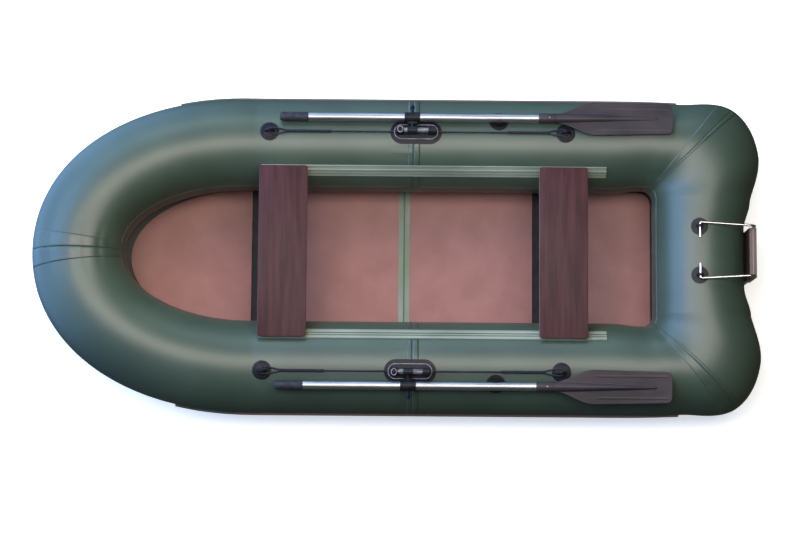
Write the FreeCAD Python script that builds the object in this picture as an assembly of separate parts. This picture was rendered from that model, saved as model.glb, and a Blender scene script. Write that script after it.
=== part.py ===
import FreeCAD, Part
import math
import os

V = FreeCAD.Vector

# A 3 m rowing boat of inflated fabric tubes, with a folding plywood floor, two sliding seats,
# a pair of oars on hinged oarlocks and a slip-on motor bracket.
# +X is the bow, +Y is port, +Z is up. The boat lies on Z = 0, and X = 0 is halfway along it.

# ---------------------------------------------------------------- hull tubes
tube_radius = 190.0            # inflated side tube
side_line = 463.0              # boat centreline to a side tube's own centreline
bow_curve_start = 600.0        # where the side tubes begin to turn in
bow_line_tip = 1310.0          # where the two side tubes meet at the bow
bow_roundness = 2.12           # 2 is an ellipse, more is blunter
rise_start = 585.0             # where the bow begins to rise
bow_rise = 70.0                # how far the bow's centreline rises
bow_ring_count = 9
seam_x = -63.0                 # cross seam of the side tubes, under the oarlocks
taper_start = -880.0           # aft of here the side tubes narrow towards the corner
corner_pivot_x = -1012.0       # vertical line that a stern corner's sections turn about
corner_pivot_y = 239.0
corner_inner_radius = 45.0
corner_reach = [413.0, 441.0, 542.5, 528.0, 451.0]   # pivot to outside, every eighth of a turn
stern_inside_x = -1057.0       # cockpit's after end, at mid height
stern_outside_x = -1436.0      # outside of the stern tube on the centreline
stern_hollow_half = 120.0      # half the length of the stern tube's narrow middle

# ---------------------------------------------------------------- fabric parts of the hull
skin_thickness = 4.0
skin_back_x = -1450.0
skin_past_tip = 60.0           # the bottom runs this far past the tubes' meeting line
skin_height = 8.0              # underside of the bottom above the ground
strip_height = 34.0            # rubbing strip
strip_thickness = 8.0
strip_outer_share = 0.6        # its outer face is this share of its height
strip_front_x = 905.0
strip_back_x = -1160.0

# ---------------------------------------------------------------- floor
board_thickness = 12.0
board_half_width = 300.0
bow_board_half_width = 297.0
bow_board_tip = 1116.0
bow_board_back = 614.0
floor_gap = 38.0               # hinge gap under each seat
floor_fold_x = -29.0           # the middle fold
rear_middle_back = -569.0
stern_board_back = -1067.0
stern_board_corner = 50.0
fold_gap = 2.0
fold_tape_width = 47.0
fold_tape_thickness = 1.5
gap_strip_thickness = 2.0

# ---------------------------------------------------------------- seats and their rails
rail_angle = 41.5              # inboard of the tube's crest, degrees
rail_front_x = 560.0
rail_back_x = -854.0
rail_half_width = 25.0
rail_base = 2.5
rail_lip_width = 3.0
rail_lip_height = 1.5
channel_half_width = 9.0
channel_wall = 2.5
channel_height = 8.5
slot_half_width = 3.0
bead_clearance = 1.0
slide_foot_thickness = 5.0
slide_foot_inset = 17.0        # foot's middle, above the tube's skin along the web
slide_web_height = 30.0
seat_length = 703.0
seat_width = 198.0
seat_thickness = 12.0
seat_corner = 12.0
seat_underside = 358.0         # height of the seat board's underside
slide_inset = 12.0             # slide stops this far inside the board's edges
slide_foot_half = 15.0
front_seat_x = 468.0
rear_seat_x = -676.5

# ---------------------------------------------------------------- fittings on the side tubes
fitting_angle = 8.0            # outboard of the tube's crest, degrees
side_shift = 9.0               # the port fittings sit forward, the starboard ones aft, by this
front_eye_x = 535.6
oarlock_x = -63.4
rear_eye_x = -675.0
patch_thickness = 2.5
eye_patch_radius = 39.0
eye_length = 46.0
eye_width = 15.0
eye_height = 17.0
eye_bar_depth = 6.0
eye_opening = 20.0

pad_length = 211.0
pad_width = 97.0
pad_body_length = 181.0
pad_body_width = 62.0
pad_body_height = 8.0
bar_height = 29.0              # oarlock bar's axis above the tube's skin
bar_radius = 10.0
bar_gap_half = 50.0            # half the free length of the bar
lug_width = 30.0
lug_radius = 15.0
pin_fit = 0.3                  # radial gap between the bar and the sleeve on it
arm_shift = {"port": 8.0, "starboard": 16.0}   # each arm rests this far forward on its bar

sleeve_width = 40.0
sleeve_radius = 15.5
arm_length = 58.0              # bar axis to oar axis
arm_radius = 6.5
arm_end = 112.0                # bar axis to the end of the pin
nut_length = 10.0
nut_radius = 9.5
nut_inset = 4.0                # pin end proud of the nut
key_length = 38.0
key_thickness = 8.0
key_depth = 14.0
key_gap = 3.0                  # between the collar and the key
oar_lift = 28.5                # oar axis above the tube's skin when the oar is laid down

# ---------------------------------------------------------------- oars
shaft_radius = 17.5
grip_radius = 19.0
grip_end_round = 8.0
grip_end_step = 5.0
grip_front = 540.0             # all measured from the oarlock arm, forward or aft
grip_back = 424.0
shaft_joint = 296.0
socket_start = 538.0
blade_flare = 585.0
blade_full = 750.0
blade_rib_end = 1015.0
blade_end = 1065.0
blade_width = 141.0
blade_tilt = 6.0               # inboard edge up, when the oar is laid down
blade_tip_width = 126.0
blade_thickness = 6.0
blade_tip_corner = 22.0
blade_flare_start = 2.0        # flat's half width at the flare, less than the socket by this
blade_shoulder = 25.0          # half the length of the shoulder where the blade is full
socket_radius = 20.0
socket_overlap = 22.0          # socket over the shaft's end
rib_tip_radius = 6.0
side_rib_width = 7.0
side_rib_height = 7.0
side_rib_offset = 44.0
side_rib_inset = 12.0          # short of the blade's tip
collar_length = 63.0
collar_radius = 20.5
rest_back = 355.0              # oar rest, aft of the oarlock arm
rest_patch_radius = 39.0
rest_half_width = 13.0
rest_wall = 6.0
rest_clearance = 1.5
rest_inboard_rise = 4.0        # inboard jaw above the oar's axis
rest_outboard_drop = 2.0       # outboard jaw below it

# ---------------------------------------------------------------- grab lines
line_radius = 3.5
line_bedding = 1.5             # the single line's lowest side above the tube, in the pad's groove
twist_radius = 6.5             # two strands laid up together
line_clearance = 0.3
twist_tuck = 4.0               # each strand's offset where it enters the twist
loop_half_width = 16.0         # of the loop, outboard and inboard of the eye
loop_bend = 7.0
line_bend = 90.0
line_dip_outside = 30.0        # the line starts to go under the pad this far from its end
line_dip_inside = 10.0
loop_reach = 70.0              # from the eye to where the loop closes
front_twist_end = 250.0        # from the front eye to where the line is single again
rear_twist_start = 240.0       # the same, from the rear eye

# ---------------------------------------------------------------- motor bracket
rod_radius = 5.0
rod_y = 115.0                  # where it swells out past the eye
rod_down_y = 101.5             # where it goes down between the board's two layers
rod_height = 399.0
rod_eye_x = -1229.0
rod_eye_y = 100.0
bracket_patch_radius = 35.0
bracket_y = -11.0              # the bracket sits a little to starboard of the centreline
motor_board_half = 102.5
motor_board_height = 190.0
motor_board_top = 330.0
motor_board_ply = 14.5         # each of its two layers
motor_board_front_x = -1440.0
rod_bend = 24.0
rod_foot_bend = 14.5
rod_hook_bend = 6.5
rod_stub = 46.0                # rod past the eye, towards the centreline
lower_eye_angle = 130.0        # from the stern tube's crest, going aft and down
lug_thickness = 12.0
lug_wall = 6.0                 # around the rod's hole, and its foot's spread
rod_hole_clearance = 0.3

# ---------------------------------------------------------------- bow eye and air valves
bow_eye_angle = 127.0          # from the crest, going forward and down
bow_eye_hole = 8.0
bow_eye_radius = 18.0
bow_eye_thickness = 12.0
bow_eye_stand = 20.0
bow_patch_radius = 45.0
bow_web_spread = 8.0
valve_angle = 103.0            # inboard of the crest
valve_x = 430.0
valve_radius = 30.0
valve_height = 9.0
valve_cap_radius = 20.0
valve_cap_height = 8.0

far = 2000.0                   # reach of shapes that only cut, past the whole boat
web_depth = 10.0               # how far a moulding's foot starts below the skin it is cut to


# ================================================================ helpers
def box(x0, x1, y0, y1, z0, z1):
    """Axis-parallel block between two corners."""
    return Part.makeBox(x1 - x0, y1 - y0, z1 - z0, V(x0, y0, z0))


def cylinder(radius, start, end):
    """Round bar from start to end."""
    axis = end.sub(start)
    return Part.makeCylinder(radius, axis.Length, start, axis)


def prism(points, direction):
    """Closed straight-sided outline, extruded."""
    wire = Part.makePolygon(points + [points[0]])
    return Part.Face(wire).extrude(direction)


def join(shapes):
    """One solid from touching or overlapping ones."""
    whole = shapes[0].fuse(shapes[1:]) if len(shapes) > 1 else shapes[0]
    return whole.removeSplitter()


def rounded_path(points, radii):
    """Straight runs joined by tangent arcs, one radius for each inner point."""
    edges = []
    here = points[0]
    for i in range(1, len(points) - 1):
        back = points[i - 1].sub(points[i]).normalize()
        ahead = points[i + 1].sub(points[i]).normalize()
        half = back.getAngle(ahead) / 2.0
        reach = radii[i - 1] / math.tan(half)
        start = points[i].add(V(back).multiply(reach))
        end = points[i].add(V(ahead).multiply(reach))
        inward = back.add(ahead).normalize()
        centre = points[i].add(V(inward).multiply(radii[i - 1] / math.sin(half)))
        middle = centre.sub(V(inward).multiply(radii[i - 1]))
        edges.append(Part.LineSegment(here, start).toShape())
        edges.append(Part.Arc(start, middle, end).toShape())
        here = end
    edges.append(Part.LineSegment(here, points[-1]).toShape())
    return Part.Wire(edges)


def rod(points, radii, radius):
    """Round rod or rope along a rounded path."""
    path = rounded_path(points, radii)
    section = Part.Wire(Part.makeCircle(radius, points[0], points[1].sub(points[0])))
    return path.makePipeShell([section], True, True)


def stadium(length, width, z0, z1):
    """Slab with round ends, along X, centred on the origin."""
    flat = (length - width) / 2.0
    middle = box(-flat, flat, -width / 2, width / 2, z0, z1)
    ends = [Part.makeCylinder(width / 2, z1 - z0, V(x, 0, z0)) for x in (-flat, flat)]
    return join([middle] + ends)


# ================================================================ the hull's shape
def rise(x):
    """Height that the bow gains at x."""
    slope = bow_rise / (bow_line_tip - rise_start)
    return slope * max(0.0, x - rise_start)


def ring(centre, outward, half_width, half_height):
    """Closed oval across a tube. outward is level and points away from the cockpit."""
    normal = outward.cross(V(0, 0, 1))
    place = FreeCAD.Matrix(
        outward.x * half_width, 0, normal.x, centre.x,
        outward.y * half_width, 0, normal.y, centre.y,
        0, half_height, normal.z, centre.z,
        0, 0, 0, 1)
    circle = Part.makeCircle(1.0, V(0, 0, 0), V(0, 0, 1))
    return Part.Wire(circle.transformGeometry(place).Edges)


def bow_station(i):
    """Centre and outward direction of bow ring i, from 0 at the side to the last at the tip."""
    turn = math.pi / 2 * i / (bow_ring_count - 1)
    reach = bow_line_tip - bow_curve_start
    along = math.sin(turn) ** (2 / bow_roundness)
    across = max(math.cos(turn), 0.0) ** (2 / bow_roundness)
    x = bow_curve_start + reach * along
    outward = V(along ** (bow_roundness - 1) / reach, across ** (bow_roundness - 1) / side_line, 0)
    return V(x, side_line * across, tube_radius + rise(x)), outward.normalize()


def bow_rings(grow):
    """Rings of the port bow, from the end of the straight side to the tip."""
    start = V(rise_start, side_line, tube_radius)
    rings = [ring(start, V(0, 1, 0), tube_radius + grow, tube_radius + grow)]
    for i in range(bow_ring_count):
        centre, outward = bow_station(i)
        if i == bow_ring_count - 1:
            centre.y = 0.0
            outward = V(1, 0, 0)
        rings.append(ring(centre, outward, tube_radius + grow, tube_radius + grow))
    return rings


def corner_ring(i, grow):
    """Ring i of a stern corner: 0 faces the side, 2 is the mitre seam, 4 faces the stern."""
    angle = math.pi / 8 * i
    outward = V(-math.sin(angle), math.cos(angle), 0)
    middle = (corner_reach[i] + corner_inner_radius) / 2
    half = (corner_reach[i] - corner_inner_radius) / 2
    centre = V(corner_pivot_x, corner_pivot_y, tube_radius).add(V(outward).multiply(middle))
    return ring(centre, outward, half + grow, tube_radius + grow)


def stern_ring(y, grow):
    """Ring of the stern tube's straight middle."""
    middle = (stern_inside_x + stern_outside_x) / 2
    half = (stern_inside_x - stern_outside_x) / 2
    return ring(V(middle, y, tube_radius), V(-1, 0, 0), half + grow, tube_radius + grow)


def side_cylinder(x0, x1, radius):
    """Straight round length of the port side tube."""
    return cylinder(radius, V(x0, side_line, tube_radius), V(x1, side_line, tube_radius))


def bow_tube(grow=0.0):
    """Port tube from the cross seam to the bow seam."""
    straight = side_cylinder(seam_x, rise_start, tube_radius + grow)
    return join([straight, Part.makeLoft(bow_rings(grow), True)])


def side_tube(grow=0.0):
    """Port tube from the cross seam to the mitre at the stern corner."""
    straight = side_cylinder(taper_start, seam_x, tube_radius + grow)
    start = V(taper_start, side_line, tube_radius)
    rings = [ring(start, V(0, 1, 0), tube_radius + grow, tube_radius + grow)]
    rings += [corner_ring(i, grow) for i in range(3)]
    return join([straight, Part.makeLoft(rings, True)])


def mirrored(shape):
    """The starboard copy of a port shape."""
    return shape.mirror(V(0, 0, 0), V(0, 1, 0))


def stern_tube_shape(grow=0.0):
    """Cross tube between the two mitres."""
    port_rings = [corner_ring(i, grow) for i in (2, 3, 4)] + [stern_ring(stern_hollow_half, grow)]
    half = Part.makeLoft(port_rings + [stern_ring(0.0, grow)], True)
    return join([half, mirrored(half)])


# ================================================================ making the nodes
nodes = {}


def add(name, *solids):
    """Keep one named node. Several solids share it only where they don't touch."""
    nodes[name] = solids[0] if len(solids) == 1 else Part.makeCompound(list(solids))


def add_pair(name, shape):
    """A port node and its starboard mirror image."""
    add("port_" + name, shape)
    add("starboard_" + name, mirrored(shape))


bow_shape = bow_tube()
side_shape = side_tube()
stern_shape = stern_tube_shape()
add_pair("bow_tube", bow_shape)
add_pair("side_tube", side_shape)
add("stern_tube", stern_shape)


def rub_strip():
    """Moulded strip glued along the widest line of the port side."""
    def section(centre, outward, half):
        inner = half - strip_thickness
        outer = half + strip_thickness
        corners = [(inner, -1.0), (outer, -strip_outer_share), (outer, strip_outer_share), (inner, 1.0)]
        points = [centre.add(V(outward).multiply(d)).add(V(0, 0, h * strip_height / 2)) for d, h in corners]
        return Part.makePolygon(points + [points[0]])

    sections = []
    for i in range(bow_ring_count):
        centre, outward = bow_station(i)
        sections.append(section(centre, outward, tube_radius))
    bow = Part.makeLoft([section(V(rise_start, side_line, tube_radius), V(0, 1, 0), tube_radius)]
                        + sections, True)
    bow = bow.common(box(rise_start, strip_front_x, 0, far, 0, far))
    flat = section(V(taper_start, side_line, tube_radius), V(0, 1, 0), tube_radius)
    side = Part.Face(flat).extrude(V(rise_start - taper_start, 0, 0))
    corner = []
    for i in (0, 1):
        angle = math.pi / 8 * i
        outward = V(-math.sin(angle), math.cos(angle), 0)
        pivot = V(corner_pivot_x, corner_pivot_y, tube_radius)
        corner.append(section(pivot, outward, corner_reach[i]))
    aft = Part.makeLoft([flat] + corner, True).common(box(strip_back_x, taper_start, 0, far, 0, far))
    return join([bow, side, aft]).cut(bow_shape).cut(side_shape)


add_pair("rub_strip", rub_strip())


def centreline_outline(z):
    """Closed outline through the tubes' centres, seen from above."""
    points = [V(rise_start, side_line, z)]
    for i in range(bow_ring_count - 1):
        centre = bow_station(i)[0]
        points.append(V(centre.x, centre.y, z))
    points.append(V(bow_line_tip, 0, z))
    for i in (3, 2, 1, 0):
        angle = math.pi / 8 * i
        middle = (corner_reach[i] + corner_inner_radius) / 2
        points.append(V(corner_pivot_x - middle * math.sin(angle),
                        corner_pivot_y + middle * math.cos(angle), z))
    port_bow = points[:bow_ring_count + 1]
    port_stern = points[bow_ring_count + 2:]
    tip = points[bow_ring_count + 1]
    bow_back = [V(p.x, -p.y, z) for p in reversed(port_bow)]
    stern_back = [V(p.x, -p.y, z) for p in reversed(port_stern)]
    return port_bow + [tip] + bow_back + stern_back + port_stern


def sheet_along(x0, x1, z0, thickness, half_width):
    """Level sheet that follows the bow's rise, from x0 to x1."""
    stations = [x0] + [x for x in (rise_start,) if x0 < x < x1] + [x1]
    lower = [V(x, -half_width, z0 + rise(x)) for x in stations]
    upper = [V(x, -half_width, z0 + thickness + rise(x)) for x in reversed(stations)]
    return prism(lower + upper, V(0, 2 * half_width, 0))


def bottom_skin():
    """Fabric bottom, glued under the tubes all round."""
    sheet = sheet_along(skin_back_x, bow_line_tip + skin_past_tip, skin_height, skin_thickness, far)
    outline = prism(centreline_outline(-far), V(0, 0, 2 * far))
    skin = sheet.common(outline)
    for tube in (bow_shape, mirrored(bow_shape), side_shape, mirrored(side_shape), stern_shape):
        skin = skin.cut(tube)
    return max(skin.Solids, key=lambda solid: solid.Volume)


add("bottom_skin", bottom_skin())

# ---------------------------------------------------------------- folding floor
floor_bottom = skin_height + skin_thickness
front_middle_front = bow_board_back - floor_gap
stern_board_front = rear_middle_back - floor_gap


def bow_board():
    """Half-oval board under the bow."""
    length = bow_board_tip - bow_board_back
    oval = Part.Ellipse(V(bow_board_back, 0, 0), length, bow_board_half_width)
    half = Part.Arc(oval, -math.pi / 2, math.pi / 2).toShape()
    back = Part.LineSegment(half.Vertexes[1].Point, half.Vertexes[0].Point).toShape()
    outline = Part.Face(Part.Wire([half, back])).extrude(V(0, 0, far))
    return sheet_along(bow_board_back, bow_board_tip, floor_bottom, board_thickness, far).common(outline)


def stern_board():
    """Aftermost board, with rounded after corners."""
    board = box(stern_board_back, stern_board_front, -board_half_width, board_half_width,
                floor_bottom, floor_bottom + board_thickness)
    corners = [edge for edge in board.Edges
               if abs(edge.Vertexes[0].X - stern_board_back) < 0.01
               and abs(edge.Vertexes[1].X - stern_board_back) < 0.01
               and abs(edge.Vertexes[0].Z - edge.Vertexes[1].Z) > 1]
    return board.makeFillet(stern_board_corner, corners)


add("bow_floor_board", bow_board())
front_middle = sheet_along(floor_fold_x + fold_gap / 2, front_middle_front, floor_bottom,
                           board_thickness, board_half_width)
add("front_floor_board", front_middle)
add("rear_floor_board", box(rear_middle_back, floor_fold_x - fold_gap / 2, -board_half_width,
                            board_half_width, floor_bottom, floor_bottom + board_thickness))
add("stern_floor_board", stern_board())
floor_top = floor_bottom + board_thickness
add("floor_fold_tape", box(floor_fold_x - fold_tape_width / 2, floor_fold_x + fold_tape_width / 2,
                           -board_half_width, board_half_width,
                           floor_top, floor_top + fold_tape_thickness))
add("front_floor_hinge", sheet_along(front_middle_front, bow_board_back, floor_bottom,
                                     gap_strip_thickness, bow_board_half_width))
add("rear_floor_hinge", box(stern_board_front, rear_middle_back, -board_half_width,
                            board_half_width, floor_bottom, floor_bottom + gap_strip_thickness))


# ---------------------------------------------------------------- work on a side tube's skin
def on_tube(shape, angle, x, shift=0.0):
    """Move a shape from the flat, where Z = 0 is the tube's axis, to an angle on the port tube."""
    placed = shape.copy()
    placed.rotate(V(0, 0, 0), V(1, 0, 0), -angle)
    placed.translate(V(x + shift, side_line, tube_radius))
    return placed


def tube_core():
    """The tube itself in the flat frame, to cut a fitting to its skin."""
    return cylinder(tube_radius, V(-far, 0, 0), V(far, 0, 0))


def round_post(radius):
    """Upright bar in the flat frame, through the skin, to cut a round patch from."""
    return cylinder(radius, V(0, 0, 0), V(0, 0, far))


def patch(outline, thickness):
    """A piece of outline's shape, cut to a shell of one thickness on the tube."""
    shell = cylinder(tube_radius + thickness, V(-far, 0, 0), V(far, 0, 0)).cut(tube_core())
    return outline.common(shell)


def add_fitting(name, flat_shape, x):
    """Fitting on both side tubes: port shifted forward, starboard aft."""
    placed = on_tube(flat_shape, fitting_angle, x, side_shift)
    add("port_" + name, placed)
    other = mirrored(on_tube(flat_shape, fitting_angle, x, -side_shift))
    add("starboard_" + name, other)


def rail():
    """Extruded rail: a glued base with edge lips and a channel that holds the seat's bead."""
    length = rail_front_x - rail_back_x
    top = tube_radius + rail_base
    roof = tube_radius + channel_height
    base = box(0, length, -rail_half_width, rail_half_width, tube_radius - rail_base, top)
    pieces = [base]
    for sign in (-1, 1):
        low, high = sorted((sign * rail_half_width, sign * (rail_half_width - rail_lip_width)))
        pieces.append(box(0, length, low, high, top, top + rail_lip_height))
        inner = channel_half_width - channel_wall
        low, high = sorted((sign * channel_half_width, sign * inner))
        pieces.append(box(0, length, low, high, top, roof))
        low, high = sorted((sign * channel_half_width, sign * slot_half_width))
        pieces.append(box(0, length, low, high, roof - channel_wall, roof))
    return on_tube(join(pieces).cut(tube_core()), -rail_angle, rail_back_x)


add_pair("seat_rail", rail())


def seat_slide(centre_x):
    """Bead in the port rail's channel, with a web and a foot under the seat board."""
    length = seat_width - 2 * slide_inset
    low = tube_radius + rail_base + bead_clearance
    high = tube_radius + channel_height - channel_wall - bead_clearance
    half = channel_half_width - channel_wall - bead_clearance
    web_half = slot_half_width - bead_clearance
    bead = box(-length / 2, length / 2, -half, half, low, high)
    web = box(-length / 2, length / 2, -web_half, web_half, low, tube_radius + slide_web_height)
    slide = on_tube(join([bead, web]), -rail_angle, centre_x)
    foot_y = side_line - (tube_radius + slide_foot_inset) * math.sin(math.radians(rail_angle))
    foot = box(centre_x - length / 2, centre_x + length / 2,
               foot_y - slide_foot_half, foot_y + slide_foot_half,
               seat_underside - slide_foot_thickness, seat_underside)
    above = box(centre_x - length, centre_x + length, 0, far, seat_underside, far)
    return join([slide, foot]).cut(above)


def seat_board(centre_x):
    """Plywood seat across both rails."""
    board = box(centre_x - seat_width / 2, centre_x + seat_width / 2, -seat_length / 2,
                seat_length / 2, seat_underside, seat_underside + seat_thickness)
    upright = [edge for edge in board.Edges
               if abs(edge.Vertexes[0].Z - edge.Vertexes[1].Z) > 1]
    return board.makeFillet(seat_corner, upright)


for seat_name, seat_x in (("front", front_seat_x), ("rear", rear_seat_x)):
    add(seat_name + "_seat_board", seat_board(seat_x))
    slide = seat_slide(seat_x)
    add(seat_name + "_seat_slides", slide, mirrored(slide))


# ---------------------------------------------------------------- rope eyes, oarlocks and rests
def rope_eye():
    """Round glued patch with a moulded bridge that the rope goes under."""
    disc = patch(round_post(eye_patch_radius), patch_thickness)
    top = tube_radius + eye_height
    bridge = stadium(eye_length, eye_width, tube_radius, top)
    opening = box(-eye_opening / 2, eye_opening / 2, -far, far, 0, top - eye_bar_depth)
    bridge = bridge.cut(opening)
    return join([disc, bridge.cut(tube_core())])


eye = rope_eye()
port_eyes = [on_tube(eye, fitting_angle, x, side_shift) for x in (front_eye_x, rear_eye_x)]
starboard_eyes = [mirrored(on_tube(eye, fitting_angle, x, -side_shift))
                  for x in (front_eye_x, rear_eye_x)]
add("port_rope_eyes", *port_eyes)
add("starboard_rope_eyes", *starboard_eyes)

bar_radial = tube_radius + bar_height
line_path_radial = tube_radius + line_radius + line_bedding
lug_centre = bar_gap_half + lug_width / 2


def oarlock_pad():
    """Moulded pad with two lugs, bored for the bar, and a tunnel for the rope below it."""
    flange = patch(stadium(pad_length, pad_width, 0, far), patch_thickness)
    body = patch(stadium(pad_body_length, pad_body_width, 0, far), pad_body_height)
    pieces = [flange, body]
    for sign in (-1, 1):
        x0 = sign * lug_centre - lug_width / 2
        lug = join([box(x0, x0 + lug_width, -lug_radius, lug_radius, tube_radius, bar_radial),
                    cylinder(lug_radius, V(x0, 0, bar_radial), V(x0 + lug_width, 0, bar_radial))])
        pieces.append(lug)
    pad = join(pieces).cut(tube_core())
    bore = cylinder(bar_radius, V(-far, 0, bar_radial), V(far, 0, bar_radial))
    tunnel = cylinder(line_radius + line_clearance, V(-far, 0, line_path_radial), V(far, 0, line_path_radial))
    return pad.cut(bore).cut(tunnel)


add_fitting("oarlock_pad", oarlock_pad(), oarlock_x)
bar_end = lug_centre + lug_width / 2
add_fitting("oarlock_bar", cylinder(bar_radius, V(-bar_end, 0, bar_radial), V(bar_end, 0, bar_radial)),
            oarlock_x)


def oar_rest():
    """Patch with two jaws, the outboard one low, that the oar's shaft lies between."""
    disc = patch(round_post(rest_patch_radius), patch_thickness)
    axis_n = tube_radius + oar_lift
    gap = shaft_radius + rest_clearance
    block = box(-rest_half_width, rest_half_width, -gap - rest_wall, gap + rest_wall,
                tube_radius - web_depth, axis_n + rest_inboard_rise)
    low_side = box(-far, far, 0, far, axis_n - rest_outboard_drop, far)
    channel = cylinder(gap, V(-far, 0, axis_n), V(far, 0, axis_n))
    mouth = box(-far, far, -gap, gap, axis_n, far)
    return join([disc, block.cut(low_side).cut(channel).cut(mouth).cut(tube_core())])


# ---------------------------------------------------------------- where a laid oar lies
def laid_oar():
    """Angle on the tube of a laid oar's axis, and the arm's direction in that section."""
    bar = tube_radius + bar_height
    oar = tube_radius + oar_lift
    between = math.acos((bar ** 2 + oar ** 2 - arm_length ** 2) / (2 * bar * oar))
    angle = math.radians(fitting_angle) + between
    bar_point = (bar * math.sin(math.radians(fitting_angle)), bar * math.cos(math.radians(fitting_angle)))
    oar_point = (oar * math.sin(angle), oar * math.cos(angle))
    arm_angle = math.atan2(oar_point[1] - bar_point[1], oar_point[0] - bar_point[0])
    return math.degrees(angle), math.degrees(arm_angle), bar_point


oar_angle, arm_angle, bar_point = laid_oar()
port_arm_x = oarlock_x + side_shift + arm_shift["port"]
starboard_arm_x = oarlock_x - side_shift + arm_shift["starboard"]
rest = oar_rest()
add("port_oar_rest", on_tube(rest, oar_angle, port_arm_x - rest_back))
add("starboard_oar_rest", mirrored(on_tube(rest, oar_angle, starboard_arm_x - rest_back)))


# ---------------------------------------------------------------- grab lines
def grab_line():
    """Rope looped at both eyes, doubled next to them and single through the oarlock pad."""
    lie = tube_radius + twist_radius + line_clearance
    under = tube_radius + patch_thickness + line_radius + line_clearance
    pieces = []
    for eye_x, sign, twist in ((front_eye_x, -1, front_twist_end), (rear_eye_x, 1, rear_twist_start)):
        close = eye_x + sign * loop_reach
        loop = rod([V(close, twist_tuck, lie), V(eye_x, loop_half_width, under),
                    V(eye_x, -loop_half_width, under), V(close, -twist_tuck, lie)],
                   [loop_bend, loop_bend], line_radius)
        pieces.append(loop)
        pieces.append(cylinder(twist_radius, V(close - sign * twist_radius, 0, lie),
                               V(eye_x + sign * twist, 0, lie)))
    front = front_eye_x - front_twist_end
    rear = rear_eye_x + rear_twist_start
    half = pad_length / 2
    outside = half + line_dip_outside
    inside = half - line_dip_inside
    run = [V(front, 0, lie), V(oarlock_x + outside, 0, lie), V(oarlock_x + inside, 0, line_path_radial),
           V(oarlock_x - inside, 0, line_path_radial), V(oarlock_x - outside, 0, lie), V(rear, 0, lie)]
    pieces.append(rod(run, [line_bend] * 4, line_radius))
    return join(pieces)


line = grab_line()
add("port_grab_line", on_tube(line, fitting_angle, 0.0, side_shift))
add("starboard_grab_line", mirrored(on_tube(line, fitting_angle, 0.0, -side_shift)))


# ---------------------------------------------------------------- oars, in their own frame
# Frame of a laid oar: X along the boat from its arm, Y away from the bar, Z = 0 at the oar's axis.
def oar_pieces():
    """The pieces of one oar with its arm, lying along X with the bar on the -Y side."""
    pieces = {}
    grip_round_start = V(grip_front - grip_end_round, 0, 0)
    grip_end = Part.makeCone(grip_radius, grip_radius - grip_end_step, grip_end_round, grip_round_start,
                             V(1, 0, 0))
    pieces["oar_grip"] = join([cylinder(grip_radius, V(grip_back, 0, 0), grip_round_start), grip_end])
    hole = cylinder(arm_radius, V(0, -far, 0), V(0, far, 0))
    pieces["oar_shaft"] = cylinder(shaft_radius, V(-shaft_joint, 0, 0), V(grip_back, 0, 0)).cut(hole)
    pieces["oar_lower_shaft"] = cylinder(shaft_radius, V(-socket_start, 0, 0), V(-shaft_joint, 0, 0))
    collar = cylinder(collar_radius, V(-collar_length / 2, 0, 0), V(collar_length / 2, 0, 0))
    bore = cylinder(shaft_radius, V(-far, 0, 0), V(far, 0, 0))
    pieces["oar_collar"] = collar.cut(bore).cut(hole)
    sleeve_half = sleeve_width / 2
    sleeve = cylinder(sleeve_radius, V(-sleeve_half, -arm_length, 0), V(sleeve_half, -arm_length, 0))
    pin_end = arm_end - arm_length
    stem = cylinder(arm_radius, V(0, -arm_length, 0), V(0, pin_end, 0))
    nut = cylinder(nut_radius, V(0, pin_end - nut_inset - nut_length, 0), V(0, pin_end - nut_inset, 0))
    key_far = -collar_radius - key_gap
    key = box(-key_length / 2, key_length / 2, key_far - key_thickness, key_far,
              -key_depth / 2, key_depth / 2)
    bar_bore = cylinder(bar_radius + pin_fit, V(-far, -arm_length, 0), V(far, -arm_length, 0))
    pieces["oarlock_arm"] = join([sleeve, stem, nut, key]).cut(bar_bore)
    pieces["oar_blade"] = blade()
    return pieces


def blade():
    """Moulded blade: a round socket, a flared flat, a centre rib that tapers and two side ribs."""
    half = blade_width / 2
    tip = blade_tip_width / 2
    outline = [V(-blade_flare, socket_radius - blade_flare_start, 0),
               V(-blade_full + blade_shoulder, half, 0), V(-blade_full - blade_shoulder, half, 0),
               V(-blade_end + blade_tip_corner, tip, 0),
               V(-blade_end, tip - blade_tip_corner, 0)]
    mirror_side = [V(p.x, -p.y, 0) for p in reversed(outline)]
    flat = prism(outline + mirror_side, V(0, 0, blade_thickness))
    flat.translate(V(0, 0, -blade_thickness / 2))
    socket = cylinder(socket_radius, V(-blade_flare, 0, 0), V(socket_overlap - socket_start, 0, 0))
    rib = Part.makeCone(socket_radius, rib_tip_radius, blade_rib_end - blade_flare,
                        V(-blade_flare, 0, 0), V(-1, 0, 0))
    pieces = [flat, socket, rib]
    for sign in (-1, 1):
        y = sign * side_rib_offset
        pieces.append(box(side_rib_inset - blade_end, -blade_full, y - side_rib_width / 2,
                          y + side_rib_width / 2, -side_rib_height / 2, side_rib_height / 2))
    shaft = cylinder(shaft_radius, V(-socket_start, 0, 0), V(0, 0, 0))
    return join(pieces).cut(shaft)


def lay(shape, turn, arm_x):
    """Turn a piece about the oar's axis, then put it at the laid oar's place on the port side."""
    placed = shape.copy()
    placed.rotate(V(0, 0, 0), V(1, 0, 0), turn)
    radial = tube_radius + oar_lift
    placed.translate(V(arm_x, side_line + radial * math.sin(math.radians(oar_angle)),
                       tube_radius + radial * math.cos(math.radians(oar_angle))))
    return placed


for name, shape in oar_pieces().items():
    turn = -blade_tilt if name == "oar_blade" else arm_angle
    add("port_" + name, lay(shape, turn, port_arm_x))
    add("starboard_" + name, mirrored(lay(shape, turn, starboard_arm_x)))

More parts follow.
